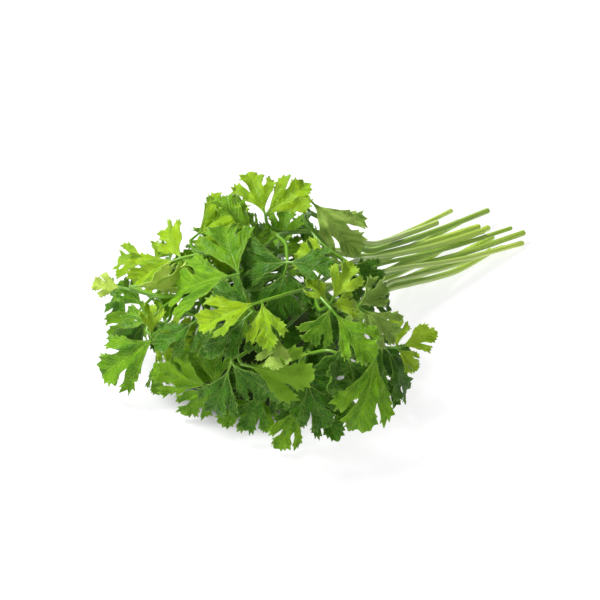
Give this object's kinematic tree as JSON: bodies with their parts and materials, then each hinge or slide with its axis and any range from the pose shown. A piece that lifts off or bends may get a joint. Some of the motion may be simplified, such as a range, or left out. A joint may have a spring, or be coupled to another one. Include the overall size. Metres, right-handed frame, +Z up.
{
  "type": "parsley bunch",
  "caption": "Bunch of cut flat-leaf parsley lying down: lobed, toothed leaves in a loose mound, with bare stems gathered at a neck and fanned out to their cut ends.",
  "frame": {"origin": "on the surface that the bunch lies on, under the middle of its bounding box", "axes": "+X along the stems towards their cut ends, the leaves lie towards -X, +Z up"},
  "size_m": [0.3084, 0.1938, 0.1121],
  "materials": {
    "leaf_bright": "bright green leaf, satin",
    "leaf_deep": "deep green leaf, satin",
    "leaf_pale": "pale yellow-green leaf, matte"
  },
  "bodies": {
    "root": {"sprig_top": "leaf_bright", "sprig_arch": "leaf_deep", "sprig_crest": "leaf_bright", "sprig_left": "leaf_bright", "sprig_far_left": "leaf_pale", "sprig_front_left": "leaf_deep", "sprig_front": "leaf_bright", "sprig_front_right": "leaf_deep", "sprig_shoulder": "leaf_bright", "sprig_right": "leaf_bright", "sprig_low_right": "leaf_deep", "sprig_nape": "leaf_deep", "sprig_back": "leaf_bright", "sprig_back_left": "leaf_deep", "sprig_low_left": "leaf_deep", "sprig_low_front": "leaf_deep", "sprig_low_side": "leaf_deep"}
  },
  "joints": []
}
